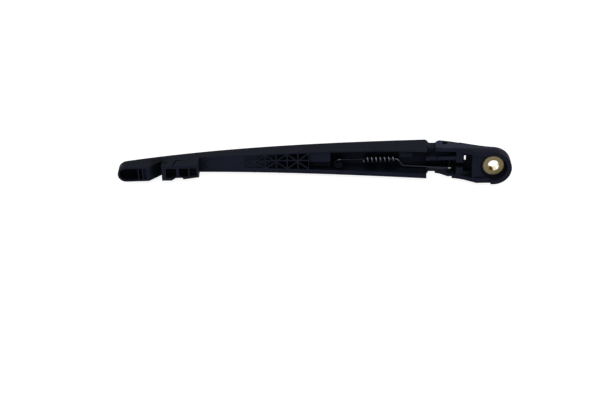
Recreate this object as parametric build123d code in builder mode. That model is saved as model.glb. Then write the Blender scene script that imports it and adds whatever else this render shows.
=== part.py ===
"""Rear wiper arm: a moulded pivot head with a brass spindle bush, and a long moulded arm hinged to it.

X runs along the arm with the blade end at -X. -Y faces the glass and Z runs across the arm.
The origin is on the spindle axis, at the glass-side face of the bush. Sizes are in millimetres.
"""

import os
from math import atan2, cos, degrees, hypot, pi, sin

from build123d import *

os.makedirs("parts", exist_ok=True)

# Spindle bush
spindle_hole_d = 8.5
bush_d = 16.3
bush_length = 6.3
bush_chamfer = 0.4

# Pivot head
head_end_radius = 13.4
head_rim_depth = 5.4
head_flank_depth = 3.0
head_rim_back_x = -2.0
head_edge_chamfer = 1.2
rim_ramp_length = 5.0
ear_back_y = 20.0
slope_back_y = 14.6
seat_back_y = 6.8
end_back_y = 5.2
pocket_radius = 10.2
nut_seat_radius = 10.6
pocket_floor_y = 0.6
web_x = -13.0
web_half_width = 9.4
web_front_y = -1.2
hook_room_x = -28.0
hook_room_y = 13.6
bridge_length = 5.2
bridge_front_y = 4.2
bridge_gap_low_z = -3.4
bridge_gap_high_z = 0.8
window_length = 6.5
window_width = 14.0
window_floor_y = 9.0
slit_inset = 1.5
slit_length = 1.5
slit_low_z = -1.5

# Hinge and link pins
hinge_x = -36.0
hinge_y = 15.0
hinge_pin_d = 4.0
link_pin_dx = 3.5
link_pin_dy = -5.8
link_pin_d = 3.0
link_pin_high_z = 5.0
pin_bar_low_z = 2.9
pin_bar_high_z = 5.8
pin_bar_front_y = 5.0
pin_bar_back_y = 9.8
pin_bar_tip_x = -42.3
arm_bar_head_x = -43.0
arm_bar_length = 9.0
pin_fit = 0.02
running_fit = 0.1
pin_recess = 1.2

# Ears and tongue
tongue_width = 19.2
tongue_end_radius = 4.9
tongue_back_y = 21.4
tongue_front_y = 12.2
tongue_root_length = 22.0
root_fillet_radius = 2.2
root_recess_head_x = -51.0
root_recess_length = 10.0
root_recess_floor_y = 18.5
ear_clearance = 0.3
ear_thickness = 2.5
ear_relief = 0.5
ear_relief_radius = 11.0
ear_end_radius = 7.4
ear_front_y = 5.0
ear_tip_front_y = 6.0
lower_ear_front_y = 7.0
lower_ear_tip_front_y = 11.4
neck_front_y = 2.8
wire_slot_low_z = -6.2
wire_slot_high_z = 2.4
bay_slot_low_z = -7.6
wire_slot_floor_y = 18.0
knuckle_bar_top_z = 6.0

# Arm moulding: stations along it, with the half width and the back and front of the section at each
shoulder_x = -49.0
lattice_x = -147.0
slim_x = -220.0
nose_x = -277.0
shoulder_half_width = 11.9
lattice_half_width = 9.2
slim_half_width = 6.6
nose_half_width = 6.2
shoulder_back_y = 23.8
lattice_back_y = 25.2
slim_back_y = 22.0
nose_back_y = 11.4
shoulder_front_y = 3.3
lattice_front_y = 11.2
slim_front_y = 12.2
upper_wall = 1.2
lower_wall = 3.6
back_wall = 2.5
back_edge_chamfer = 1.2
shoulder_slant = 1.6
shoulder_chamfer_x = 2.2
shoulder_chamfer_y = 4.0
arm_length = 286.6

# Spring bay, platform and rib lattice
bay_tip_x = -124.0
platform_length = 16.5
platform_drop = 1.6
platform_step = 5.0
panel_length = 16.75
panel_count = 3
rib_thickness = 1.0
lattice_mid_depth = 3.0
lattice_shallow_depth = 1.6
lattice_tip_depth = 0.7
lattice_rib_z = 2.0

# Clip block and blade jaw
block_head_x = -225.0
block_tip_x = -253.0
block_front_y = -1.2
block_waist_front_y = 2.8
block_lobe_front_y = 0.4
block_head_front_y = 3.7
block_tip_length = 7.3
block_ramp_length = 2.9
block_waist_length = 5.1
block_lobe_step = 0.9
jaw_top_y = 8.0
jaw_width = 1.0
jaw_slant_width = 9.0
clip_pocket_width = 8.0
clip_pockets = ((-249.7, 7.9, 7.6), (-239.6, 6.9, 7.6), (-231.5, 5.2, 4.0))
latch_lines = (
    ((-252.0, 4.6), (-248.6, 4.6)),
    ((-242.7, 8.0), (-238.2, 8.0)),
    ((-242.3, 8.0), (-244.2, -0.2)),
)
latch_slot_width = 1.2
latch_slot_depth = 1.6

# Hollow nose
nose_front_y = -1.2
nose_wall = 1.5
nose_back_wall = 2.0
nose_rib_tip_x = -270.7
nose_rib_head_x = -267.4
nose_rib_thickness = 0.9
nose_mid_depth = 4.0
nose_head_depth = 1.2
nose_end_wall = 1.6

# Tension spring and its peg
wire_sides = 10
spring_wire_d = 1.6
spring_outer_d = 7.5
spring_pitch = 3.27
spring_turns = 7.5
coil_steps_per_turn = 16
spring_head_x = -73.8
spring_y = 14.4
spring_z = 0.6
spring_bend_radius = 1.7
spring_hook_angle = 190.0
peg_x = -117.0
peg_d = 5.2
peg_clearance = 0.1
peg_front_y = 8.9

# Plain oval pad between the lattice and the clip block
pad_x = -215.5
pad_length = 11.4
pad_width = 7.4
pad_height = 0.35

# Spring link
link_wire_d = 2.0
link_hook_clearance = 0.15
link_hook_angle = 205.0
link_hook_z = -4.6
link_shank_length = 7.0
link_shank_head_d = 3.2
link_shank_head_length = 1.6
link_bend_x = -72.4
link_leg_x = -68.4
link_leg_y = 12.0
link_bend_radius = 2.5

# Sizes that follow from the driving ones
reach = 400.0
past_end_x = 2 * head_end_radius
tongue_half = tongue_width / 2
ear_inner_half = tongue_half + ear_clearance
ear_outer_half = ear_inner_half + ear_thickness
head_half_width = ear_outer_half + ear_relief
ear_end_x = hinge_x - ear_end_radius
fork_radius = tongue_end_radius + 1.5 * ear_clearance
fork_floor_x = hinge_x + fork_radius
bridge_head_x = hook_room_x + bridge_length
window_head_x = bridge_head_x + window_length
link_pin_x = hinge_x + link_pin_dx
link_pin_y = hinge_y + link_pin_dy
link_hook_radius = (link_pin_d + link_wire_d) / 2 + link_hook_clearance
link_pin_low_z = -ear_inner_half - ear_thickness / 2
tongue_root_x = shoulder_x - tongue_root_length
nose_end_x = block_tip_x - jaw_width - jaw_slant_width - nose_end_wall
tip_centre_x = nose_half_width - arm_length
lattice_head_x = bay_tip_x - platform_length
lattice_tip_x = lattice_head_x - panel_count * panel_length
spring_radius = (spring_outer_d - spring_wire_d) / 2
spring_tip_x = spring_head_x - spring_pitch * spring_turns
spring_lead_angle = atan2(spring_pitch, 2 * pi * spring_radius)
spring_leg_x = spring_tip_x - spring_bend_radius * cos(spring_lead_angle)
spring_leg_y = spring_y - spring_radius
spring_leg_z = spring_z + spring_bend_radius * (1 - sin(spring_lead_angle))
spring_hook_radius = (peg_d + spring_wire_d) / 2 + peg_clearance
peg_z = spring_leg_z - spring_hook_radius


def line_between(x, start, end):
    """Value at x on the straight line between two (x, value) points."""
    share = (x - start[0]) / (end[0] - start[0])
    return start[1] + share * (end[1] - start[1])


def half_width_at(x):
    """Half width of the arm along its lattice."""
    return line_between(x, (lattice_x, lattice_half_width), (slim_x, slim_half_width))


def front_at(x):
    """Glass-side rim of the arm along its lattice."""
    return line_between(x, (lattice_x, lattice_front_y), (slim_x, slim_front_y))


def back_points(inset):
    """Stations of the arm's back curve, moved in by a wall."""
    return [
        (shoulder_x, shoulder_back_y - inset),
        (lattice_x, lattice_back_y - inset),
        (slim_x, slim_back_y - inset),
        (nose_x, nose_back_y - inset),
    ]


def front_points(inset):
    """Stations of the arm's glass-side rim, moved in towards the back."""
    return [
        (shoulder_x, shoulder_front_y + inset),
        (lattice_x, lattice_front_y + inset),
        (slim_x, slim_front_y + inset),
        (block_head_x, slim_front_y + inset),
    ]


def width_points(inset):
    """Stations of the arm's half width, moved in by a wall."""
    return [
        (shoulder_x, shoulder_half_width - inset),
        (lattice_x, lattice_half_width - inset),
        (slim_x, slim_half_width - inset),
        (tip_centre_x, nose_half_width - inset),
    ]


# Head cavity: the window's pocket and the gap in the bridge, which leave a back wall behind them
with BuildPart() as head_cavity:
    with BuildSketch(Plane.XZ.offset(-reach)):
        with Locations((window_head_x, 0)):
            Rectangle(window_length, window_width, align=(Align.MAX, Align.CENTER))
        with Locations((window_head_x, bridge_gap_low_z)):
            Rectangle(
                window_head_x - hook_room_x,
                bridge_gap_high_z - bridge_gap_low_z,
                align=(Align.MAX, Align.MIN),
            )
    extrude(amount=2 * reach)
    with BuildSketch(Plane.XY.offset(-reach)):
        with BuildLine():
            Polyline(
                (hook_room_x, hook_room_y),
                (window_head_x, window_floor_y),
                (window_head_x, -reach),
                (hook_room_x, -reach),
                close=True,
            )
        make_face()
    extrude(amount=2 * reach, mode=Mode.INTERSECT)

# Pivot head: the plan and the side outline are crossed, then hollowed from the glass side
with BuildPart() as head:
    with BuildSketch(Plane.XZ.offset(-reach)):
        Circle(head_end_radius)
        with Locations((ear_end_x, 0)):
            Rectangle(ear_relief, 2 * head_half_width, align=(Align.MIN, Align.CENTER))
        make_hull()
    extrude(amount=2 * reach)
    with BuildSketch(Plane.XY.offset(-reach)):
        with BuildLine():
            head_back = Spline(
                (hinge_x - 2.0, ear_back_y),
                (bridge_head_x, slope_back_y),
                (head_rim_back_x, seat_back_y),
                (past_end_x, end_back_y),
                tangents=((1, -0.25), (1, -0.05)),
            )
            Polyline(
                head_back @ 1,
                (past_end_x, -head_rim_depth),
                (head_rim_back_x, -head_rim_depth),
                (head_rim_back_x - 0.6, -head_flank_depth),
                (web_x, -head_flank_depth),
                (bridge_head_x, neck_front_y),
                (link_pin_x + link_pin_d, ear_front_y),
                (ear_end_x, ear_tip_front_y),
                (ear_end_x, hinge_y - 2.0),
            )
            ThreePointArc(
                (ear_end_x, hinge_y - 2.0),
                (ear_end_x + 0.7, hinge_y + 2.6),
                head_back @ 0,
            )
        make_face()
    extrude(amount=2 * reach, mode=Mode.INTERSECT)
    back_edges = head.faces().filter_by(lambda face: face.normal_at().Y > 0.6).edges()
    chamfer(
        back_edges.filter_by(lambda edge: edge.center().X > 0 and abs(edge.center().Z) < 1),
        length=head_edge_chamfer,
    )
    with BuildSketch(Plane.XY):
        with BuildLine():
            Polyline(
                (head_rim_back_x - 0.6, -head_flank_depth),
                (head_rim_back_x + rim_ramp_length, -head_rim_depth),
                (head_rim_back_x + rim_ramp_length, -2 * head_rim_depth),
                (head_rim_back_x - 0.6, -2 * head_rim_depth),
                close=True,
            )
        make_face()
    extrude(amount=reach, mode=Mode.SUBTRACT)
    with BuildSketch(Plane.XY.offset(-ear_inner_half)):
        with Locations((hinge_x, hinge_y)):
            Circle(fork_radius)
        with Locations((hinge_x + 0.8 * fork_radius, hinge_y)):
            Rectangle(reach, reach, align=(Align.MAX, Align.CENTER))
        with Locations((hook_room_x, hook_room_y)):
            Rectangle(reach, reach, align=(Align.MAX, Align.MAX))
    extrude(amount=2 * ear_inner_half, mode=Mode.SUBTRACT)
    with BuildSketch(Plane.XY.offset(-ear_inner_half)):
        with BuildLine():
            Polyline(
                (link_pin_x + link_pin_d / 2, lower_ear_front_y),
                (link_pin_x - link_pin_d / 2, lower_ear_front_y),
                (ear_end_x + ear_end_radius / 2, lower_ear_tip_front_y),
                (ear_end_x, hinge_y - 2.0),
                (ear_end_x, -reach),
                (link_pin_x + link_pin_d / 2, -reach),
                close=True,
            )
        make_face()
    extrude(amount=-reach, mode=Mode.SUBTRACT)
    add(head_cavity.part, mode=Mode.SUBTRACT)
    with BuildSketch(Plane.XZ.offset(-reach)):
        with Locations((bridge_head_x + slit_inset, slit_low_z)):
            Rectangle(slit_length, window_width / 2 - slit_low_z, align=(Align.MIN, Align.MIN))
    extrude(amount=2 * reach, mode=Mode.SUBTRACT)
    with BuildSketch(Plane.XY.offset(ear_outer_half)):
        with Locations((hinge_x, hinge_y)):
            Circle(ear_relief_radius)
    ear_face = extrude(amount=ear_relief * 2, mode=Mode.SUBTRACT)
    mirror(ear_face, about=Plane.XY, mode=Mode.SUBTRACT)
    with BuildSketch(Plane.XZ.offset(-pocket_floor_y)):
        Circle(pocket_radius)
    extrude(amount=reach, mode=Mode.SUBTRACT)
    with BuildSketch(Plane.XZ.offset(-web_front_y)):
        with Locations((window_head_x, 0)):
            Rectangle(-window_head_x, 2 * web_half_width, align=(Align.MIN, Align.CENTER))
    extrude(amount=reach, mode=Mode.SUBTRACT)
    with BuildSketch(Plane.XZ.offset(-bridge_front_y)):
        with Locations((fork_floor_x, 0)):
            Rectangle(window_head_x - fork_floor_x, 2 * ear_inner_half, align=(Align.MIN, Align.CENTER))
    extrude(amount=reach, mode=Mode.SUBTRACT)
    with BuildSketch(Plane.XY.offset(pin_bar_low_z)):
        with Locations((pin_bar_tip_x, pin_bar_front_y)):
            Rectangle(
                hook_room_x + bridge_length / 2 - pin_bar_tip_x,
                pin_bar_back_y - pin_bar_front_y,
                align=(Align.MIN, Align.MIN),
            )
        with Locations((hinge_x, pin_bar_front_y)):
            Rectangle(
                hook_room_x + bridge_length / 2 - hinge_x,
                hook_room_y - pin_bar_front_y,
                align=(Align.MIN, Align.MIN),
            )
        with Locations((hinge_x, hinge_y)):
            Circle(tongue_end_radius + ear_clearance, mode=Mode.SUBTRACT)
    extrude(amount=pin_bar_high_z - pin_bar_low_z)
    with BuildSketch(Plane.XZ.offset(-bush_length)):
        Circle(nut_seat_radius)
    extrude(amount=-reach, mode=Mode.SUBTRACT)
    with BuildSketch(Plane.XZ):
        Circle(bush_d / 2)
    extrude(amount=-2 * bush_length, mode=Mode.SUBTRACT)
    with BuildSketch(Plane.XY):
        with Locations((hinge_x, hinge_y)):
            Circle(hinge_pin_d / 2 + pin_fit)
    extrude(amount=head_half_width, both=True, mode=Mode.SUBTRACT)
    with BuildSketch(Plane.XY.offset(link_pin_low_z)):
        with Locations((link_pin_x, link_pin_y)):
            Circle(link_pin_d / 2 + pin_fit)
    extrude(amount=link_pin_high_z - link_pin_low_z, mode=Mode.SUBTRACT)
head.part.label = "head"
export_step(head.part, "parts/head.step")

# Spindle bush: turned brass, moulded into the head
with BuildPart() as spindle_bush:
    with BuildSketch(Plane.XZ):
        Circle(bush_d / 2)
        Circle(spindle_hole_d / 2, mode=Mode.SUBTRACT)
    extrude(amount=-bush_length)
    chamfer(spindle_bush.faces().sort_by(Axis.Y)[0].edges(), length=bush_chamfer)
spindle_bush.part.label = "spindle_bush"
export_step(spindle_bush.part, "parts/spindle_bush.step")

# Hinge pin: plain steel pin through both ears and the tongue
with BuildPart() as hinge_pin:
    with BuildSketch(Plane.XY):
        with Locations((hinge_x, hinge_y)):
            Circle(hinge_pin_d / 2)
    extrude(amount=ear_outer_half - pin_recess, both=True)
hinge_pin.part.label = "hinge_pin"
export_step(hinge_pin.part, "parts/hinge_pin.step")

# Link pin: shorter steel pin held in blind holes in the lower ear and the bar
with BuildPart() as link_pin:
    with BuildSketch(Plane.XY.offset(link_pin_low_z)):
        with Locations((link_pin_x, link_pin_y)):
            Circle(link_pin_d / 2)
    extrude(amount=link_pin_high_z - link_pin_low_z)
link_pin.part.label = "link_pin"
export_step(link_pin.part, "parts/link_pin.step")

# Space inside the arm's channel, as far as its end walls, open to the glass and to the hinge end
with BuildPart() as channel_space:
    with BuildSketch(Plane.XZ.offset(-reach)):
        with BuildLine():
            upper = Spline(*width_points(upper_wall))
            lower = Spline(*[(x, -half) for x, half in width_points(lower_wall)])
            Line(upper @ 0, lower @ 0)
            Line(upper @ 1, lower @ 1)
        make_face()
    extrude(amount=2 * reach)
    with BuildSketch(Plane.XY.offset(-reach)):
        with BuildLine():
            floor = Spline(*back_points(back_wall))
            Polyline(floor @ 1, (nose_x, -reach), (shoulder_x, -reach), floor @ 0)
        make_face()
    extrude(amount=2 * reach, mode=Mode.INTERSECT)

# Spring bay: the deep stretch of the channel next to the hinge
with BuildPart() as spring_bay:
    add(channel_space.part)
    with BuildSketch(Plane.YZ.offset(bay_tip_x)):
        Rectangle(2 * reach, 2 * reach)
    extrude(amount=reach, mode=Mode.INTERSECT)

# Rib lattice: pockets between a centre rib, cross ribs and crossed diagonals, shallower towards the tip
with BuildPart() as lattice_pockets:
    half_panel = panel_length / 2
    mid_x = lattice_head_x - 3 * half_panel
    shallow_x = lattice_head_x - 4 * half_panel
    with BuildSketch(Plane.XZ.offset(-reach)):
        with Locations(((lattice_head_x + lattice_tip_x) / 2, 0)):
            Rectangle(lattice_head_x - lattice_tip_x, 2 * shoulder_half_width)
        with Locations(((lattice_head_x + lattice_tip_x) / 2, lattice_rib_z)):
            Rectangle(lattice_head_x - lattice_tip_x, rib_thickness, mode=Mode.SUBTRACT)
        for rib in range(2 * panel_count + 1):
            with Locations((lattice_head_x - rib * half_panel, 0)):
                Rectangle(rib_thickness, 2 * shoulder_half_width, mode=Mode.SUBTRACT)
        for panel in range(panel_count):
            head_x = lattice_head_x - panel * panel_length
            tip_x = head_x - panel_length
            for start_x, end_x in ((head_x, tip_x), (tip_x, head_x)):
                with BuildLine():
                    Line(
                        (start_x, half_width_at(start_x) - upper_wall),
                        (end_x, lower_wall - half_width_at(end_x)),
                    )
                trace(line_width=rib_thickness, mode=Mode.SUBTRACT)
    extrude(amount=2 * reach)
    add(channel_space.part, mode=Mode.INTERSECT)
    with BuildSketch(Plane.XY.offset(-reach)):
        with BuildLine():
            Polyline(
                (lattice_tip_x, front_at(lattice_tip_x) + lattice_tip_depth),
                (shallow_x, front_at(shallow_x) + lattice_shallow_depth),
                (mid_x, front_at(mid_x) + lattice_mid_depth),
                (lattice_head_x, lattice_back_y - back_wall),
                (lattice_head_x, -reach),
                (lattice_tip_x, -reach),
                close=True,
            )
        make_face()
    extrude(amount=2 * reach, mode=Mode.INTERSECT)

# Platform between the bay and the lattice: set back from the rim, and stepped down on its lower half
with BuildPart() as platform_space:
    for depth, low_z in ((platform_drop + platform_step, -reach), (platform_drop, 0)):
        with BuildSketch(Plane.XY.offset(low_z)):
            with BuildLine():
                rim = Spline(*front_points(depth))
                Polyline(rim @ 0, (shoulder_x, -reach), (block_head_x, -reach), rim @ 1)
            make_face()
        extrude(amount=reach)
    with BuildSketch(Plane.XZ.offset(-reach)):
        with Locations((lattice_head_x, 0)):
            Rectangle(platform_length, 2 * reach, align=(Align.MIN, Align.CENTER))
    extrude(amount=2 * reach, mode=Mode.INTERSECT)
    add(channel_space.part, mode=Mode.INTERSECT)

# Nose tub: the deep hollow at the tip, as far as the first cross rib
with BuildPart() as nose_tub:
    with BuildSketch(Plane.XZ.offset(-reach)):
        with Locations((tip_centre_x, 0)):
            Circle(nose_half_width - nose_wall)
            Rectangle(
                nose_rib_tip_x - nose_rib_thickness / 2 - tip_centre_x,
                2 * (nose_half_width - nose_wall),
                align=(Align.MIN, Align.CENTER),
            )
    extrude(amount=2 * reach)
    with BuildSketch(Plane.XY.offset(-reach)):
        with BuildLine():
            nose_floor = Spline(*back_points(nose_back_wall))
            past_tip = nose_floor @ 1 + (nose_floor % 1) * (2 * nose_half_width)
            Polyline(
                nose_floor @ 1,
                past_tip,
                (past_tip.X, -reach),
                (shoulder_x, -reach),
                nose_floor @ 0,
            )
        make_face()
    extrude(amount=2 * reach, mode=Mode.INTERSECT)

# Arm: plan and side outlines crossed, with its back edges chamfered, then hollowed from the glass side
with BuildPart() as arm:
    with BuildSketch(Plane.XZ.offset(-reach)):
        with BuildLine():
            upper = Spline(*width_points(0))
            lower = Spline(*[(x, -half) for x, half in width_points(0)])
            ThreePointArc(upper @ 1, (-arm_length, 0), lower @ 1)
            Line(upper @ 0, lower @ 0)
        make_face()
    extrude(amount=2 * reach)
    with BuildSketch(Plane.XY.offset(-reach)):
        with BuildLine():
            back = Spline(*back_points(0))
            past_tip = back @ 1 + (back % 1) * (2 * nose_half_width)
            front = Spline(*front_points(0))
            jaw_x = block_tip_x - jaw_width
            Polyline(
                back @ 1,
                past_tip,
                (past_tip.X, nose_front_y),
                (jaw_x - jaw_slant_width, nose_front_y),
                (jaw_x, jaw_top_y),
                (block_tip_x, jaw_top_y),
                (block_tip_x, block_front_y),
                (block_head_x, block_front_y),
                (block_head_x, slim_front_y),
            )
            Line(front @ 0, back @ 0)
        make_face()
    extrude(amount=2 * reach, mode=Mode.INTERSECT)
    back_edges = arm.faces().filter_by(lambda face: face.normal_at().Y > 0.6).edges()
    chamfer(
        back_edges.filter_by(lambda edge: abs(edge.center().Z) > 1 or edge.center().X < nose_x),
        length=back_edge_chamfer,
    )
    for space in (spring_bay, lattice_pockets, platform_space, nose_tub):
        add(space.part, mode=Mode.SUBTRACT)
    with BuildSketch(Plane.XY.offset(-reach)):
        with BuildLine():
            Polyline(
                (shoulder_x - shoulder_slant, shoulder_front_y),
                (shoulder_x, shoulder_back_y - shoulder_chamfer_y),
                (shoulder_x - shoulder_chamfer_x, shoulder_back_y),
                (shoulder_x - shoulder_chamfer_x, reach),
                (reach, reach),
                (reach, -reach),
                (shoulder_x - shoulder_slant, -reach),
                close=True,
            )
        make_face()
    extrude(amount=2 * reach, mode=Mode.SUBTRACT)
    for tip_x, head_x, depth in (
        (nose_rib_tip_x + nose_rib_thickness / 2, nose_rib_head_x - nose_rib_thickness / 2, nose_mid_depth),
        (nose_rib_head_x + nose_rib_thickness / 2, nose_end_x, nose_head_depth),
    ):
        with BuildSketch(Plane.XZ.offset(-(nose_front_y + depth))):
            with Locations((tip_x, 0)):
                Rectangle(
                    head_x - tip_x,
                    2 * (nose_half_width - nose_wall),
                    align=(Align.MIN, Align.CENTER),
                )
        extrude(amount=reach, mode=Mode.SUBTRACT)
    for tip_x, length, floor_y in clip_pockets:
        with BuildSketch(Plane.XZ.offset(-floor_y)):
            with Locations((tip_x, 0)):
                Rectangle(length, clip_pocket_width, align=(Align.MIN, Align.CENTER))
        extrude(amount=reach, mode=Mode.SUBTRACT)
    with BuildSketch(Plane.XY.offset(-clip_pocket_width / 2)):
        with BuildLine():
            ramp_x = block_tip_x + block_tip_length
            waist_x = ramp_x + block_ramp_length
            lobe_x = waist_x + block_waist_length
            Polyline(
                (ramp_x, block_front_y),
                (waist_x, block_waist_front_y),
                (lobe_x, block_waist_front_y),
                (lobe_x + block_lobe_step, block_lobe_front_y),
                (block_head_x, block_head_front_y),
                (block_head_x, -reach),
                (ramp_x, -reach),
                close=True,
            )
        make_face()
    extrude(amount=-reach, mode=Mode.SUBTRACT)
    with BuildSketch(Plane.XY.offset(slim_half_width - latch_slot_depth)):
        for start, end in latch_lines:
            with BuildLine():
                Line(start, end)
            trace(line_width=latch_slot_width)
    extrude(amount=reach, mode=Mode.SUBTRACT)
    with BuildSketch(Plane.XZ.offset(-slim_front_y - pad_height)):
        with Locations((pad_x, 0)):
            Ellipse(pad_length / 2, pad_width / 2)
    extrude(amount=2 * pad_height)
    with BuildSketch(Plane.XY.offset(-tongue_half)):
        with Locations((hinge_x, hinge_y)):
            Circle(tongue_end_radius)
        with BuildLine():
            Polyline(
                (tongue_root_x, shoulder_back_y - back_wall / 2),
                (shoulder_x - shoulder_chamfer_x, shoulder_back_y - back_wall / 2),
                (shoulder_x, tongue_back_y),
                (hinge_x - tongue_end_radius, tongue_back_y),
                (hinge_x, hinge_y + tongue_end_radius),
                (hinge_x, hinge_y - tongue_end_radius),
                (tongue_root_x, tongue_front_y),
                close=True,
            )
        make_face()
    extrude(amount=tongue_width)
    with BuildSketch(Plane.XZ.offset(-tongue_back_y)):
        with BuildLine():
            Polyline(
                (shoulder_x + root_fillet_radius, tongue_half),
                (shoulder_x - root_fillet_radius, tongue_half),
                (shoulder_x - root_fillet_radius, tongue_half + root_fillet_radius),
                (shoulder_x, tongue_half + root_fillet_radius),
            )
            RadiusArc(
                (shoulder_x, tongue_half + root_fillet_radius),
                (shoulder_x + root_fillet_radius, tongue_half),
                -root_fillet_radius,
            )
        make_face()
    root_fillet = extrude(amount=tongue_back_y - tongue_front_y)
    mirror(root_fillet, about=Plane.XY)
    with BuildSketch(Plane.XY.offset(pin_bar_low_z)):
        with Locations((arm_bar_head_x, pin_bar_front_y)):
            Rectangle(arm_bar_length, hinge_y - pin_bar_front_y, align=(Align.MAX, Align.MIN))
    extrude(amount=pin_bar_high_z - pin_bar_low_z)
    with BuildSketch(Plane.XZ.offset(-root_recess_floor_y)):
        with Locations((root_recess_head_x, wire_slot_high_z)):
            Rectangle(root_recess_length, tongue_half - wire_slot_high_z, align=(Align.MAX, Align.MIN))
    extrude(amount=reach, mode=Mode.SUBTRACT)
    with BuildSketch(Plane.XZ.offset(-wire_slot_floor_y)):
        with Locations((tongue_root_x, wire_slot_low_z)):
            Rectangle(
                fork_floor_x - tongue_root_x,
                wire_slot_high_z - wire_slot_low_z,
                align=(Align.MIN, Align.MIN),
            )
        with Locations((tongue_root_x, wire_slot_high_z)):
            Rectangle(
                shoulder_x - tongue_root_x - shoulder_slant,
                wire_slot_high_z - bay_slot_low_z,
                align=(Align.MIN, Align.MAX),
            )
    extrude(amount=reach, mode=Mode.SUBTRACT)
    with BuildSketch(Plane.XZ.offset(-tongue_front_y)):
        with Locations((tongue_root_x, knuckle_bar_top_z)):
            Rectangle(
                fork_floor_x - tongue_root_x,
                tongue_half - knuckle_bar_top_z,
                align=(Align.MIN, Align.MIN),
            )
    extrude(amount=reach, mode=Mode.SUBTRACT)
    with BuildSketch(Plane.XY.offset(-reach)):
        with Locations((hinge_x, hinge_y)):
            Circle(hinge_pin_d / 2 + running_fit)
    extrude(amount=2 * reach, mode=Mode.SUBTRACT)
    with BuildSketch(Plane.XZ.offset(-peg_front_y)):
        with Locations((peg_x, peg_z)):
            Circle(peg_d / 2)
    extrude(amount=-(lattice_back_y - back_wall / 2 - peg_front_y))
arm.part.label = "arm"
export_step(arm.part, "parts/arm.step")

# Tension spring: the coil, and the leg that hooks round the peg
with BuildPart() as tension_spring:
    coil_step = 2 * pi / coil_steps_per_turn
    coil_angles = [step * coil_step for step in range(round(spring_turns * coil_steps_per_turn) + 1)]
    with BuildLine(Plane.XZ.offset(-spring_leg_y)) as coil_path:
        Polyline(
            *[
                (
                    spring_tip_x + spring_pitch * angle / (2 * pi),
                    spring_z - spring_radius * sin(angle),
                    spring_radius * (cos(angle) - 1),
                )
                for angle in coil_angles
            ]
        )
    with BuildSketch(Plane(coil_path.line @ 0, z_dir=coil_path.line % 0)):
        RegularPolygon(spring_wire_d / 2, wire_sides)
    sweep(path=coil_path.line, transition=Transition.RIGHT)
    with BuildLine(Plane.XZ.offset(-spring_leg_y)) as leg_path:
        JernArc(
            (spring_tip_x, spring_z),
            (-sin(spring_lead_angle), cos(spring_lead_angle)),
            spring_bend_radius,
            90 - degrees(spring_lead_angle),
        )
        Line((spring_leg_x, spring_leg_z), (peg_x, spring_leg_z))
        JernArc((peg_x, spring_leg_z), (-1, 0), spring_hook_radius, spring_hook_angle)
    with BuildSketch(Plane(leg_path.line @ 0, z_dir=leg_path.line % 0)):
        RegularPolygon(spring_wire_d / 2, wire_sides)
    sweep(path=leg_path.line)
tension_spring.part.label = "tension_spring"
export_step(tension_spring.part, "parts/tension_spring.step")

# Spring link: bent wire with a headed shank in the end of the coil and a hook round the link pin
with BuildPart() as spring_link:
    to_pin = (link_pin_x - link_leg_x, link_pin_y - link_leg_y)
    tangent_length = (hypot(*to_pin) ** 2 - link_hook_radius**2) ** 0.5
    leg_angle = atan2(to_pin[1], to_pin[0]) - atan2(link_hook_radius, tangent_length)
    leg_direction = (cos(leg_angle), sin(leg_angle))
    hook_start = (
        link_leg_x + tangent_length * leg_direction[0],
        link_leg_y + tangent_length * leg_direction[1],
        link_hook_z,
    )
    shank_start_x = link_bend_x - link_shank_length
    with BuildLine() as link_path:
        FilletPolyline(
            (shank_start_x, spring_y, spring_z),
            (link_bend_x, spring_y, spring_z),
            (link_leg_x, link_leg_y, link_hook_z),
            hook_start,
            radius=link_bend_radius,
        )
        JernArc(hook_start, leg_direction, link_hook_radius, link_hook_angle)
    with BuildSketch(Plane.YZ.offset(shank_start_x)):
        with Locations((spring_y, spring_z)):
            RegularPolygon(link_wire_d / 2, wire_sides)
    sweep(path=link_path.line, transition=Transition.RIGHT)
    with BuildSketch(Plane.YZ.offset(shank_start_x)):
        with Locations((spring_y, spring_z)):
            Circle(link_shank_head_d / 2)
    extrude(amount=link_shank_head_length)
spring_link.part.label = "spring_link"
export_step(spring_link.part, "parts/spring_link.step")
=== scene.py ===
import math

import bpy
from mathutils import Matrix, Vector


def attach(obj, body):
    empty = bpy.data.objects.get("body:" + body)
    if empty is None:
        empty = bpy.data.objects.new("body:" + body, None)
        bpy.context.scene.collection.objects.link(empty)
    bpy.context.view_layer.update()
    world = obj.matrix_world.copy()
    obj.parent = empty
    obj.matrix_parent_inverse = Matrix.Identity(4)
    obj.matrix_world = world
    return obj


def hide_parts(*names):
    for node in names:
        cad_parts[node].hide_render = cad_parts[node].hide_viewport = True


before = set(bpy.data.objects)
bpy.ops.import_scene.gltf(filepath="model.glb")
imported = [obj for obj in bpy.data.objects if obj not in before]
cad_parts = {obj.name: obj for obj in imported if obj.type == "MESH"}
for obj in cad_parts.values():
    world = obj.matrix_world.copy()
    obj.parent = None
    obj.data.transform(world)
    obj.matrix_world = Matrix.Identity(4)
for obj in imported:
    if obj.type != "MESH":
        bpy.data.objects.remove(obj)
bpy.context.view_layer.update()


# Pivot head
# One black glass-filled moulding that carries the spindle bush, with two ears for the hinge pin.
# Its satin spark-eroded grain has edges painted paler (part wear, part highlight) and a painted sheen on
# the upper flank.
MM = 0.001


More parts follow.
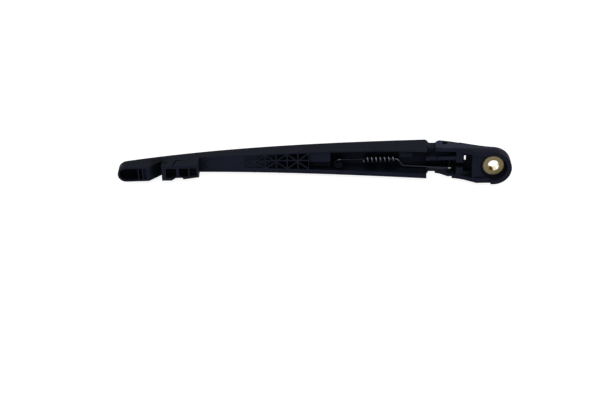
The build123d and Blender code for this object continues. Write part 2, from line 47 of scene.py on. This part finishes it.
class Shade:
    """A value in one material's node tree. Sums on it add Math nodes, and node() adds any other node."""

    def __init__(self, tree, socket=None):
        self.tree = tree
        self.socket = socket

    def node(self, kind, settings, inputs, output=0):
        """Adds a node, with its settings set before its inputs, and gives one of its outputs."""
        made = self.tree.nodes.new(kind)
        for name, value in settings.items():
            setattr(made, name, value)
        for name, value in inputs.items():
            self.feed(made.inputs[name], value)
        return Shade(self.tree, made.outputs[output])

    def feed(self, socket, value):
        """Links a value to a socket, or sets the socket where the value is plain."""
        if isinstance(value, Shade):
            self.tree.links.new(value.socket, socket)
        else:
            socket.default_value = value

    def maths(self, operation, first, second):
        return self.node("ShaderNodeMath", {"operation": operation}, {0: first, 1: second})

    def vector_maths(self, operation, other=(0, 0, 0), output="Vector"):
        return self.node("ShaderNodeVectorMath", {"operation": operation}, {0: self, 1: other}, output)

    def axis(self, name):
        return self.node("ShaderNodeSeparateXYZ", {}, {"Vector": self}, name)

    def clamped(self):
        return self.node("ShaderNodeClamp", {}, {"Value": self})

    def rise(self, start, width):
        """Climbs from nought at the start to one, a width beyond it."""
        return ((self - start) * (1 / width)).clamped()

    def near(self, spot, reach, gain):
        """Falls from the gain at a spot to nought at its reach, and below nought beyond."""
        return (1 - self.vector_maths("DISTANCE", spot, "Value") * (1 / reach)) * gain

    def noise(self, size, detail, roughness=0.5):
        """Cloudy noise about nought, in patches of about the given size."""
        inputs = {"Vector": self, "Scale": 1 / size, "Detail": detail, "Roughness": roughness}
        return self.node("ShaderNodeTexNoise", {}, inputs) - 0.5

    def mix(self, low, high):
        """A colour between two, with this value as the share of the second."""
        factor, first_colour, second_colour, mixed_colour = 0, 6, 7, 2
        inputs = {factor: self, first_colour: low, second_colour: high}
        return self.node("ShaderNodeMix", {"data_type": "RGBA"}, inputs, mixed_colour)

    def spread(self, low, high):
        """A colour between two, halfway where this value is nought."""
        return (self + 0.5).clamped().mix(low, high)

    def __add__(self, other):
        return self.maths("ADD", self, other)

    def __sub__(self, other):
        return self.maths("SUBTRACT", self, other)

    def __rsub__(self, other):
        return self.maths("SUBTRACT", other, self)

    def __mul__(self, other):
        return self.maths("MULTIPLY", self, other)

    __radd__ = __add__
    __rmul__ = __mul__


def new_finish(name):
    """An empty material, with its shader and its Object coordinates."""
    material = bpy.data.materials.new(name)
    material.use_nodes = True
    tree = material.node_tree
    place = Shade(tree).node("ShaderNodeTexCoord", {}, {}, "Object")
    return material, tree.nodes["Principled BSDF"], place


def black_plastic(name, shaded_spots=(), sheen_side=None):
    """Satin black plastic: fine grain, cloudy patches, edges painted paler as wear and highlight, painted
    shade in recesses.

    Painted shade darkens it round each given spot, out to the reach that stands beside it. A painted sheen
    makes the upward flank paler towards the given direction.
    """
    deep = (0.0086, 0.0098, 0.0170, 1)
    pale = (0.0128, 0.0145, 0.0258, 1)
    edge_wear_and_highlight_colour = (0.021, 0.0245, 0.040, 1)
    recess_shade_colour = (0.0029, 0.0033, 0.0048, 1)
    painted_sheen_colour = (0.0310, 0.0362, 0.0590, 1)
    satin_roughness = 0.40
    grain_size = 0.35 * MM
    grain_height = 0.04 * MM
    grain_strength = 0.22
    grain_contrast = 0.5
    grain_roughness = 0.12
    patch_size = 14 * MM
    patch_contrast = 1.6
    patch_roughness = 0.16
    edge_radius = 0.45 * MM
    edge_sharpness = 4
    edge_cover = 0.55
    edge_polish = 0.06
    recess_shade_reach = 15 * MM
    recess_shade_depth = 1.7
    recess_shade_margin = 0.12
    painted_shade_depth = 2
    sheen_fade = 2.5 * MM
    sheen_contrast = 0.8
    flank_start = 0.8
    flank_fade = 1 / 6
    material, shader, place = new_finish(name)
    grain = place.noise(grain_size, detail=3.0, roughness=0.6)
    patch = place.noise(patch_size, detail=5.0, roughness=0.55)
    rounded = place.node("ShaderNodeBevel", {"samples": 6}, {"Radius": edge_radius})
    flat = place.node("ShaderNodeNewGeometry", {}, {}, "Normal")
    facing = rounded.vector_maths("DOT_PRODUCT", flat, "Value")
    edge = ((1 - facing) * edge_sharpness).clamped()
    openness = place.node(
        "ShaderNodeAmbientOcclusion", {"only_local": True, "samples": 8}, {"Distance": recess_shade_reach}, "AO"
    )
    skin = (patch * patch_contrast + grain * grain_contrast).spread(deep, pale)
    # Painted sheen: faces turned up are painted paler, as light from above would make them.
    if sheen_side:
        upper_flank = flat.axis("Z").rise(flank_start, flank_fade)
        sheen = place.vector_maths("DOT_PRODUCT", sheen_side, "Value").rise(0, sheen_fade) * upper_flank
        skin = (sheen * (1 + patch * sheen_contrast)).clamped().mix(skin, painted_sheen_colour)
    # Painted shade: the base colour is darkened where the part's own geometry hems a point in, as shade
    # would.
    painted_shade = (1 - openness) * recess_shade_depth - recess_shade_margin
    # Painted shade: more darkening round each given spot.
    for spot, reach in shaded_spots:
        painted_shade = painted_shade + (place.near(spot, reach, painted_shade_depth) + patch).clamped()
    body = painted_shade.clamped().mix(skin, recess_shade_colour)
    # Edges are painted paler, partly as wear and partly as a painted highlight.
    place.feed(shader.inputs["Base Color"], (edge * openness * edge_cover).mix(body, edge_wear_and_highlight_colour))
    roughness = satin_roughness + patch * patch_roughness + grain * grain_roughness - edge * edge_polish
    place.feed(shader.inputs["Roughness"], roughness)
    relief = place.node(
        "ShaderNodeBump",
        {},
        {"Strength": grain_strength, "Distance": grain_height, "Height": grain, "Normal": rounded},
    )
    place.feed(shader.inputs["Normal"], relief)
    shader.inputs["Specular IOR Level"].default_value = 0.006
    shader.inputs["Specular Tint"].default_value = (0.72, 0.82, 1.0, 1)
    return material


def dress(node, material):
    """Gives a CAD node its finish."""
    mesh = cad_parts[node].data
    mesh.materials.clear()
    mesh.materials.append(material)


# The side towards which the painted sheen on the head's upper flank grows.
painted_sheen_side = (0.165, 1, 0)
dress("head", black_plastic("head_plastic", sheen_side=painted_sheen_side))


# Spindle bush
# A short turned brass bush that the head is moulded round, dull from storage on its faces.
# The tool left fine rings on the faces. The reamed bore is bright, with a dark smear of painted shade on
# one side.
def turned_brass(name):
    """Dull brass with turning rings round the Y axis and a bright bore, with painted shade along one line
    of it.
    """
    dull = (0.140, 0.114, 0.060, 1)
    clean = (0.190, 0.156, 0.086, 1)
    bright = (0.86, 0.80, 0.62, 1)
    bore_shade_colour = (0.032, 0.022, 0.008, 1)
    ring_pitch = 0.33 * MM
    ring_height = 0.02 * MM
    ring_strength = 0.15
    ring_contrast = 0.05
    stain_size = 4 * MM
    stain_contrast = 1.5
    stain_roughness = 0.2
    face_roughness = 0.46
    bore_radius = 4.25 * MM
    bore_margin = 0.12 * MM
    bore_roughness = 0.12
    bore_shade_line = Vector((-1.9, 0, -3.8)) * MM
    bore_shade_reach = 2.3 * MM
    painted_shade_depth = 2.5
    smear_roughness = 0.3
    material, shader, place = new_finish(name)
    across = place.vector_maths("MULTIPLY", (1, 0, 1))
    radius = across.vector_maths("LENGTH", output="Value")
    rings = place.maths("SINE", radius * (2 * math.pi / ring_pitch), 0)
    stain = place.noise(stain_size, detail=6.0, roughness=0.65)
    bore = place.maths("LESS_THAN", radius, bore_radius + bore_margin)
    face = (stain * stain_contrast + rings * ring_contrast).spread(dull, clean)
    # Painted shade: a dark smear along one line on the lower side of the bore.
    smear = (across.near(bore_shade_line, bore_shade_reach, painted_shade_depth) + stain).clamped()
    place.feed(shader.inputs["Base Color"], bore.mix(face, smear.mix(bright, bore_shade_colour)))
    on_face = (face_roughness + stain * stain_roughness) * (1 - bore)
    in_bore = (bore_roughness + smear * smear_roughness) * bore
    place.feed(shader.inputs["Roughness"], on_face + in_bore)
    relief = place.node(
        "ShaderNodeBump", {}, {"Strength": ring_strength, "Distance": ring_height, "Height": rings}
    )
    place.feed(shader.inputs["Normal"], relief)
    shader.inputs["Metallic"].default_value = 1.0
    shader.inputs["Specular Tint"].default_value = (0.70, 0.56, 0.32, 1)
    return material


dress("spindle_bush", turned_brass("bush_brass"))


# Hinge pin and link pin
# Two plain drawn steel pins, dark from oil, with fine lines along them from the drawing die.
# One goes through both ears of the head, and the other sits between the lower ear and a short bar.
def drawn_steel(name, dark, light, roughness, lines, glints=None, glint_colour=None):
    """Oil-blackened drawn steel: fine lines along one axis, faint stains, and painted glints in a paler
    colour.
    """
    stain_size = 3 * MM
    stain_contrast = 0.8
    stain_roughness = 0.2
    streak_contrast = 0.8
    streak_height = 0.02 * MM
    streak_strength = 0.1
    material, shader, place = new_finish(name)
    along = place.node("ShaderNodeMapping", {}, {"Vector": place, "Scale": lines})
    streak = along.noise(1.0, detail=3.0)
    stain = place.noise(stain_size, detail=5.0)
    colour = (streak * streak_contrast + stain * stain_contrast).spread(dark, light)
    if glints:
        # Painted glints: a paler metal colour where the given mask says.
        colour = glints(place, stain).mix(colour, glint_colour)
    place.feed(shader.inputs["Base Color"], colour)
    place.feed(shader.inputs["Roughness"], roughness + stain * stain_roughness)
    relief = place.node(
        "ShaderNodeBump", {}, {"Strength": streak_strength, "Distance": streak_height, "Height": streak}
    )
    place.feed(shader.inputs["Normal"], relief)
    shader.inputs["Metallic"].default_value = 1.0
    return material


pin_steel = drawn_steel(
    "pin_steel",
    dark=(0.0018, 0.0020, 0.0027, 1),
    light=(0.0056, 0.0061, 0.0078, 1),
    roughness=0.38,
    lines=(6000, 6000, 200),
)
dress("hinge_pin", pin_steel)
dress("link_pin", pin_steel)


# Arm
# One long black moulding, open on the glass side, in the same plastic as the head.
# It is hinged on the pin and holds the spring, the rib lattice, the clip block and the hollow nose.
# Painted shade darkens the plastic round the jaw, the peg and the coil.
jaw_shade = (Vector((-256, 7, 2)) * MM, 10 * MM)
peg_shade = (Vector((-117, 10, -1.5)) * MM, 6 * MM)
coil_shade = [(Vector((x, 14, -2)) * MM, 9.5 * MM) for x in (-79, -92)]
dress("arm", black_plastic("arm_plastic", [jaw_shade, peg_shade] + coil_shade))


# Tension spring
# Drawn spring wire, coiled, with one end drawn out into a leg that hooks round the arm's peg.
# The wire is oil-blackened, with glints painted in a paler colour on the upper crests of its turns.
spring_y = 14.4 * MM
spring_z = 0.6 * MM
spring_radius = 2.95 * MM
spring_wire = 1.6 * MM
spring_pitch = 3.27 * MM
spring_turns = 7.5
spring_head_x = -73.8 * MM
leg_bend_radius = 1.7 * MM
peg_x = -117 * MM
peg_hook_radius = 3.5 * MM
peg_hook_turn = math.radians(190)
steps_per_turn = 40
bend_steps = 8
hook_steps = 30
wire_sides = 18


def wire_tree():
    """Geometry nodes that draw a round wire along a line of edges."""
    tree = bpy.data.node_groups.new("bent_wire", "GeometryNodeTree")
    tree.interface.new_socket("Route", in_out="INPUT", socket_type="NodeSocketGeometry")
    tree.interface.new_socket("Wire diameter", in_out="INPUT", socket_type="NodeSocketFloat")
    tree.interface.new_socket("Wire sides", in_out="INPUT", socket_type="NodeSocketInt")
    tree.interface.new_socket("Finish", in_out="INPUT", socket_type="NodeSocketMaterial")
    tree.interface.new_socket("Wire", in_out="OUTPUT", socket_type="NodeSocketGeometry")
    given = tree.nodes.new("NodeGroupInput")
    made = tree.nodes.new("NodeGroupOutput")
    halved = tree.nodes.new("ShaderNodeMath")
    halved.operation = "MULTIPLY"
    halved.inputs[1].default_value = 0.5
    route = tree.nodes.new("GeometryNodeMeshToCurve")
    section = tree.nodes.new("GeometryNodeCurvePrimitiveCircle")
    swept = tree.nodes.new("GeometryNodeCurveToMesh")
    swept.inputs["Fill Caps"].default_value = True
    smooth = tree.nodes.new("GeometryNodeSetShadeSmooth")
    whole = tree.nodes.new("GeometryNodeRealizeInstances")
    finish = tree.nodes.new("GeometryNodeSetMaterial")
    link = tree.links.new
    link(given.outputs["Route"], route.inputs["Mesh"])
    link(given.outputs["Wire diameter"], halved.inputs[0])
    link(halved.outputs[0], section.inputs["Radius"])
    link(given.outputs["Wire sides"], section.inputs["Resolution"])
    link(route.outputs["Curve"], swept.inputs["Curve"])
    link(section.outputs["Curve"], swept.inputs["Profile Curve"])
    link(swept.outputs["Mesh"], smooth.inputs["Geometry"])
    link(smooth.outputs["Geometry"], whole.inputs["Geometry"])
    link(whole.outputs["Geometry"], finish.inputs["Geometry"])
    link(given.outputs["Finish"], finish.inputs["Material"])
    link(finish.outputs["Geometry"], made.inputs["Wire"])
    return tree


bent_wire = wire_tree()


def wire_piece(name, points, diameter, material):
    """A round wire along a line of points, as a plain mesh."""
    route = bpy.data.meshes.new(name + "_route")
    route.from_pydata(points, [(step, step + 1) for step in range(len(points) - 1)], [])
    piece = bpy.data.objects.new(name, route)
    bpy.context.scene.collection.objects.link(piece)
    modifier = piece.modifiers.new("bent_wire", "NODES")
    modifier.node_group = bent_wire
    sizes = {"Wire diameter": diameter, "Wire sides": wire_sides, "Finish": material}
    for item in bent_wire.interface.items_tree:
        if item.in_out == "INPUT" and item.name in sizes:
            modifier[item.identifier] = sizes[item.name]
    piece.update_tag()
    bpy.context.view_layer.update()
    drawn = piece.evaluated_get(bpy.context.evaluated_depsgraph_get())
    piece.data = bpy.data.meshes.new_from_object(drawn)
    piece.modifiers.clear()
    return piece


def arc(centre, start, turn, axis, steps):
    """Points of an arc from a start point, turned about an axis through a centre."""
    spoke = start - centre
    return [centre + Matrix.Rotation(turn * step / steps, 3, axis) @ spoke for step in range(steps + 1)]


lead = math.atan2(spring_pitch, 2 * math.pi * spring_radius)
coil_tip = Vector((spring_head_x - spring_turns * spring_pitch, spring_y - spring_radius, spring_z))
bend_centre = coil_tip - leg_bend_radius * Vector((math.cos(lead), 0, math.sin(lead)))
leg_z = bend_centre.z + leg_bend_radius
leg_end = Vector((peg_x, coil_tip.y, leg_z))
peg_centre = Vector((peg_x, coil_tip.y, leg_z - peg_hook_radius))
spring_line = []
for step in range(int(spring_turns * steps_per_turn), -1, -1):
    turned = 2 * math.pi * step / steps_per_turn
    x = coil_tip.x + spring_pitch * step / steps_per_turn
    y = spring_y - spring_radius * math.cos(turned)
    z = spring_z - spring_radius * math.sin(turned)
    spring_line.append(Vector((x, y, z)))
spring_line += arc(bend_centre, coil_tip, lead - math.pi / 2, "Y", bend_steps)[1:]
spring_line += arc(peg_centre, leg_end, -peg_hook_turn, "Y", hook_steps)


def glint_round(place, spot, reach):
    """How strongly a glint is painted round one spot, from nought to one."""
    glint_depth = 2
    return place.near(spot, reach, glint_depth).clamped()


def coil_glints(place, stain):
    """Painted glints on the upper crests of the turns, and at the two ends of the leg."""
    crest_start = spring_radius + 0.31 * spring_wire
    crest_depth = 0.12 * spring_wire
    crest_glint = 0.95
    crest_contrast = 0.5
    low_z = spring_z + 0.5 * MM
    fade_z = 1.2 * MM
    low_glint = 0.35
    bend_reach = 1.5 * MM
    bend_glint = 0.6
    off_axis = place.vector_maths("SUBTRACT", (0, spring_y, spring_z)).vector_maths("MULTIPLY", (0, 1, 1))
    crest = off_axis.vector_maths("LENGTH", output="Value").rise(crest_start, crest_depth)
    upper = place.axis("Z").rise(low_z, fade_z) * (1 - low_glint) + low_glint
    turns = place.maths("GREATER_THAN", place.axis("X"), coil_tip.x)
    # Painted glints: the paler colour goes on the upper crests of the turns and round the leg's two ends.
    crests = crest * upper * turns * (crest_glint + stain * crest_contrast)
    bends = glint_round(place, coil_tip, bend_reach) + glint_round(place, leg_end, bend_reach)
    return (crests + bends * bend_glint).clamped()


spring_steel = drawn_steel(
    "spring_steel",
    dark=(0.0040, 0.0044, 0.0058, 1),
    light=(0.0080, 0.0087, 0.0112, 1),
    roughness=0.24,
    lines=(900, 4000, 4000),
    glints=coil_glints,
    glint_colour=(0.080, 0.082, 0.102, 1),
)
spring = wire_piece("coil_spring", spring_line, spring_wire, spring_steel)
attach(spring, "arm")
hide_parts("tension_spring")


# Spring link
# A bent steel wire whose shank sits in the end of the coil and whose hook pulls on the link pin.
# The hook turns on the pin as the arm lifts. The shank lies forward in the coil to leave room for that.
link_wire = 2.0 * MM
shank_forward = 1.1 * MM
shank_length = 7.0 * MM
link_bend_radius = 2.5 * MM
link_hook_radius = 2.65 * MM
link_hook_turn = math.radians(205)
link_pin_spot = Vector((-32.5, 9.2, -4.6)) * MM
link_leg_spot = Vector((-68.4, 12.0, -4.6)) * MM
link_bend_spot = Vector((-72.4 * MM, spring_y - shank_forward, spring_z))
link_shank_end = link_bend_spot - Vector((shank_length, 0, 0))


def rounded_corner(before, corner, after):
    """Points of the arc that rounds one corner of the link."""
    back = (before - corner).normalized()
    on = (after - corner).normalized()
    half = back.angle(on) / 2
    setback = link_bend_radius / math.tan(half)
    centre = corner + (back + on).normalized() * (link_bend_radius / math.sin(half))
    return arc(centre, corner + back * setback, 2 * half - math.pi, back.cross(on), bend_steps)


to_pin = link_pin_spot - link_leg_spot
tangent = math.sqrt(to_pin.length**2 - link_hook_radius**2)
leg_angle = math.atan2(to_pin.y, to_pin.x) - math.atan2(link_hook_radius, tangent)
hook_start = link_leg_spot + tangent * Vector((math.cos(leg_angle), math.sin(leg_angle), 0))
link_line = [link_shank_end]
link_line += rounded_corner(link_shank_end, link_bend_spot, link_leg_spot)
link_line += rounded_corner(link_bend_spot, link_leg_spot, hook_start)
link_line += arc(link_pin_spot, hook_start, link_hook_turn, "Z", hook_steps)


def link_glints(place, stain):
    """Painted glints on the upper bend, and where the hook meets the link pin."""
    bend_reach = 2.6 * MM
    bend_glint = 0.2
    hook_reach = 1.2 * MM
    hook_glint = 0.9
    hook_spot = hook_start + Vector((0, -link_wire / 2, 0))
    # Painted glints round the upper bend and the hook's end.
    bend = glint_round(place, link_bend_spot, bend_reach) * bend_glint
    hook = glint_round(place, hook_spot, hook_reach) * hook_glint
    return (bend + hook) * (stain + 0.5)


link_steel = drawn_steel(
    "link_steel",
    dark=(0.0066, 0.0075, 0.0108, 1),
    light=(0.0128, 0.0146, 0.0208, 1),
    roughness=0.20,
    lines=(400, 5000, 5000),
    glints=link_glints,
    glint_colour=(0.24, 0.24, 0.25, 1),
)
link = wire_piece("bent_link", link_line, link_wire, link_steel)
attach(link, "link")
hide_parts("spring_link")


# Stage
# A white floor under the arm, which lies on its side as it would on a table, in soft light all round.
# The camera looks down at the glass side from the length of a table away.
floor_tilt = 0.026
floor_drop = 13.4 * MM
floor_side = 3.0
floor_grey = (0.55, 0.55, 0.55, 1)
floor_glow = 0.80
arm_middle_x = -147 * MM
floor_x = Vector((1, 0, -floor_tilt)).normalized()
floor_up = Vector((floor_tilt, 0, 1)).normalized()
floor_y = Vector((0, 1, 0))
middle = Vector((arm_middle_x, 0, 0)) - floor_up * floor_drop


def seen_directly(tree):
    """One for rays from the camera, from gloss and through glass, and nought for the rest."""
    path = tree.nodes.new("ShaderNodeLightPath")
    seen = Shade(tree, path.outputs["Is Camera Ray"])
    for name in ("Is Glossy Ray", "Is Transmission Ray"):
        seen = seen.maths("MAXIMUM", seen, Shade(tree, path.outputs[name]))
    return seen


floor_mesh = bpy.data.meshes.new("floor")
corners = [(-1, -1), (1, -1), (1, 1), (-1, 1)]
floor_points = [middle + floor_side * (across * floor_x + deep * floor_y) for across, deep in corners]
floor_mesh.from_pydata(floor_points, [], [(0, 1, 2, 3)])
floor = bpy.data.objects.new("floor", floor_mesh)
bpy.context.scene.collection.objects.link(floor)
floor_paint = bpy.data.materials.new("white_floor")
floor_paint.use_nodes = True
floor_tree = floor_paint.node_tree
floor_tree.nodes.remove(floor_tree.nodes["Principled BSDF"])
matt = Shade(floor_tree).node("ShaderNodeBsdfDiffuse", {}, {"Color": floor_grey})
glow = matt.node("ShaderNodeEmission", {}, {"Strength": seen_directly(floor_tree) * floor_glow})
both = matt.node("ShaderNodeAddShader", {}, {0: matt, 1: glow})
both.feed(floor_tree.nodes["Material Output"].inputs["Surface"], both)
floor_mesh.materials.append(floor_paint)

world = bpy.data.worlds.new("studio")
world.use_nodes = True
bpy.context.scene.world = world
sky_level = 0.42
sky = world.node_tree.nodes["Background"]
sky.inputs["Color"].default_value = (1, 1, 1, 1)
direct = seen_directly(world.node_tree)
direct.feed(sky.inputs["Strength"], direct * (1 - sky_level) + sky_level)

lamps = (
    ("front_softbox", (-0.15, -1.1, 0.5), 1.6, 1.0, 11.0),
    ("back_softbox", (-0.15, 1.1, 0.16), 1.6, 0.3, 2.8),
)
for lamp_name, spot, width, height, watts in lamps:
    lamp_data = bpy.data.lights.new(lamp_name, "AREA")
    lamp_data.shape = "RECTANGLE"
    lamp_data.size = width
    lamp_data.size_y = height
    lamp_data.energy = watts
    lamp = bpy.data.objects.new(lamp_name, lamp_data)
    lamp.location = spot
    lamp.rotation_euler = (middle - Vector(spot)).to_track_quat("-Z", "Y").to_euler()
    bpy.context.scene.collection.objects.link(lamp)

camera_elevation = math.radians(30)
camera_distance = 1078.7 * MM
camera_right = -147.3 * MM
camera_rise = -26.27 * MM
forward = math.cos(camera_elevation) * floor_y - math.sin(camera_elevation) * floor_up
upward = math.sin(camera_elevation) * floor_y + math.cos(camera_elevation) * floor_up
camera_spot = camera_right * floor_x + camera_rise * upward - camera_distance * forward
camera_turn = Matrix((floor_x, upward, -forward)).transposed().to_4x4()
camera_data = bpy.data.cameras.new("camera")
camera_data.lens = 85
camera_data.sensor_width = 36
camera = bpy.data.objects.new("camera", camera_data)
camera.matrix_world = Matrix.Translation(camera_spot) @ camera_turn
bpy.context.scene.collection.objects.link(camera)
bpy.context.scene.camera = camera
bpy.context.scene.view_settings.view_transform = "Standard"
